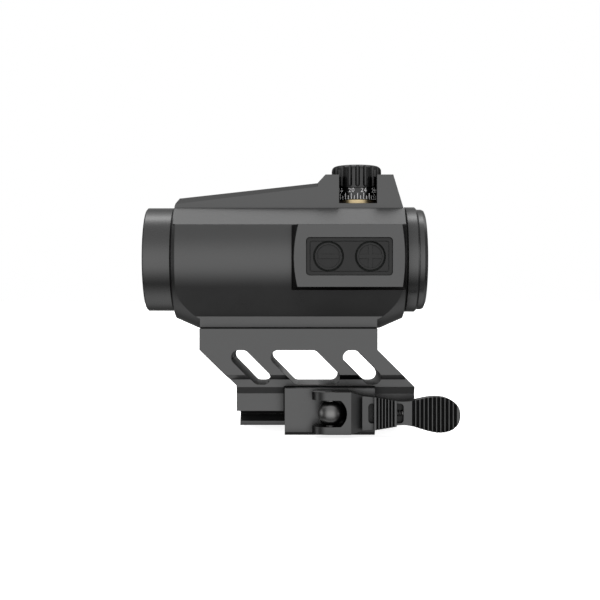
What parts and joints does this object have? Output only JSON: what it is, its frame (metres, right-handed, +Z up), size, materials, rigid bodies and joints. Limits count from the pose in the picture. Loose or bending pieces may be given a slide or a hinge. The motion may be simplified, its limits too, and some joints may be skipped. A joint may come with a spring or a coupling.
{
  "type": "red dot sight",
  "caption": "Closed-tube red dot sight with push-button keypad and two dial turrets, on a skeleton riser with a lever-operated rail clamp.",
  "frame": {"origin": "on top of the rail (the seat plane) at its middle, at the centre of the clamp's cross bolt", "axes": "+X along the rail and the optical axis, back towards the eyepiece; +Y to the shooter's right, away from the keypad and lever; +Z up"},
  "size_m": [0.0829, 0.0501, 0.072],
  "materials": {
    "body_finish": "matt black anodised",
    "mount_finish": "matt black anodised",
    "ring_finish": "satin black anodised, turned",
    "turret_finish": "satin black anodised, fluted",
    "brass": "turned brass",
    "lever_finish": "satin black anodised",
    "black_steel": "blackened steel",
    "bright_steel": "plain steel",
    "rubber": "matt black rubber",
    "seal_rubber": "black o-ring rubber",
    "lens_glass": "coated lens glass, red cast from the front",
    "window_glass": "coated flat glass",
    "board": "circuit board",
    "black_plastic": "moulded black plastic",
    "emitter_plastic": "clear red"
  },
  "bodies": {
    "sight": {"main_housing": "body_finish", "objective_hood": "ring_finish", "front_window": "window_glass", "front_window_seal": "seal_rubber", "rear_ring": "ring_finish", "rear_window": "window_glass", "rear_window_seal": "seal_rubber", "eyepiece_ring": "ring_finish", "return_spring": "bright_steel", "keypad": "rubber", "minus_dome": "bright_steel", "plus_dome": "bright_steel", "keypad_board": "board", "coin_cell": "bright_steel", "battery_contact": "bright_steel", "riser": "mount_finish", "riser_screws": "black_steel", "cross_bolt": "black_steel", "adjusting_nut": "black_steel", "jaw_guide_pins": "bright_steel", "jaw_springs": "bright_steel", "lever_pin": "black_steel", "elevation_base": "brass", "elevation_clip": "bright_steel", "elevation_seal": "seal_rubber", "windage_base": "brass", "windage_clip": "bright_steel", "windage_seal": "seal_rubber"},
    "elevation_gimbal": {"gimbal_ring": "black_steel", "elevation_pivot_pins": "bright_steel"},
    "optics": {"inner_tube": "turret_finish", "windage_pivot_pins": "bright_steel", "front_lens": "lens_glass", "cemented_lens": "lens_glass", "lens_retainer": "turret_finish", "emitter_holder": "black_plastic", "emitter": "emitter_plastic"},
    "elevation_turret": {"elevation_knob": "turret_finish", "elevation_dial": "turret_finish", "elevation_ball": "bright_steel"},
    "elevation_adjuster": {"elevation_screw": "bright_steel"},
    "windage_turret": {"windage_knob": "turret_finish", "windage_dial": "turret_finish", "windage_ball": "bright_steel"},
    "windage_adjuster": {"windage_screw": "bright_steel"},
    "minus_button": {"button_minus": "rubber"},
    "plus_button": {"button_plus": "rubber"},
    "cap_ring": {"cap_seal": "seal_rubber"},
    "battery_door": {"battery_cap": "turret_finish"},
    "jaw": {"clamp_jaw": "mount_finish"},
    "lever": {"qd_lever": "lever_finish", "lever_lock_spring": "bright_steel"},
    "lock_slide": {"lever_lock": "lever_finish"}
  },
  "joints": [
    {"name": "elevation_turn", "type": "hinge", "parent": "sight", "child": "elevation_turret", "pos_m": [0.0077, 0, 0.0616], "axis": [0, 0, 1], "range_deg": [-300, 300]},
    {"name": "elevation_feed", "type": "slide", "parent": "elevation_turret", "child": "elevation_adjuster", "axis": [0, 0, 1], "range_m": [-0.00051, 0.00051]},
    {"name": "elevation_tilt", "type": "hinge", "parent": "sight", "child": "elevation_gimbal", "pos_m": [-0.0326, 0, 0.0407], "axis": [0, 1, 0], "range_deg": [-0.73, 0.73], "deforming": ["return_spring"]},
    {"name": "windage_turn", "type": "hinge", "parent": "sight", "child": "windage_turret", "pos_m": [0.0077, 0.0209, 0.0407], "axis": [0, 1, 0], "range_deg": [-300, 300]},
    {"name": "windage_feed", "type": "slide", "parent": "windage_turret", "child": "windage_adjuster", "axis": [0, 1, 0], "range_m": [-0.00051, 0.00051]},
    {"name": "windage_tilt", "type": "hinge", "parent": "elevation_gimbal", "child": "optics", "pos_m": [-0.0326, 0, 0.0407], "axis": [0, 0, 1], "range_deg": [-0.73, 0.73]},
    {"name": "minus_press", "type": "slide", "parent": "sight", "child": "minus_button", "axis": [0, 1, 0], "range_m": [0, 0.0006], "stiffness_N_per_m": 900, "springref_m": -0.0003, "deforming": ["minus_dome"]},
    {"name": "plus_press", "type": "slide", "parent": "sight", "child": "plus_button", "axis": [0, 1, 0], "range_m": [0, 0.0006], "stiffness_N_per_m": 900, "springref_m": -0.0003, "deforming": ["plus_dome"]},
    {"name": "battery_cap_lift", "type": "slide", "parent": "sight", "child": "cap_ring", "axis": [0, 1, 0], "range_m": [0, 0.00161]},
    {"name": "battery_cap_turn", "type": "hinge", "parent": "cap_ring", "child": "battery_door", "pos_m": [-0.0156, 0.019, 0.0407], "axis": [0, 1, 0], "range_deg": [0, 720]},
    {"name": "lever_swing", "type": "hinge", "parent": "sight", "child": "lever", "pos_m": [0, -0.0213, 0.00055], "axis": [0, 0, -1], "range_deg": [0, 110]},
    {"name": "jaw_slide", "type": "slide", "parent": "sight", "child": "jaw", "axis": [0, -1, 0], "range_m": [0, 0.00101]},
    {"name": "lock_pull", "type": "slide", "parent": "lever", "child": "lock_slide", "axis": [1, 0, 0], "range_m": [0, 0.0015], "stiffness_N_per_m": 400, "springref_m": -0.001, "deforming": ["lever_lock_spring"]}
  ],
  "couplings": [
    {"joint": "elevation_feed", "follows": "elevation_turn", "m_per_rad": 0.000095493},
    {"joint": "elevation_tilt", "follows": "elevation_turn", "ratio": -0.0023696},
    {"joint": "windage_feed", "follows": "windage_turn", "m_per_rad": 0.000095493},
    {"joint": "windage_tilt", "follows": "windage_turn", "ratio": 0.0023696},
    {"joint": "battery_cap_lift", "follows": "battery_cap_turn", "m_per_rad": 0.00012732},
    {"joint": "jaw_slide", "follows": "lever_swing", "m_per_rad": 0.00052087}
  ]
}
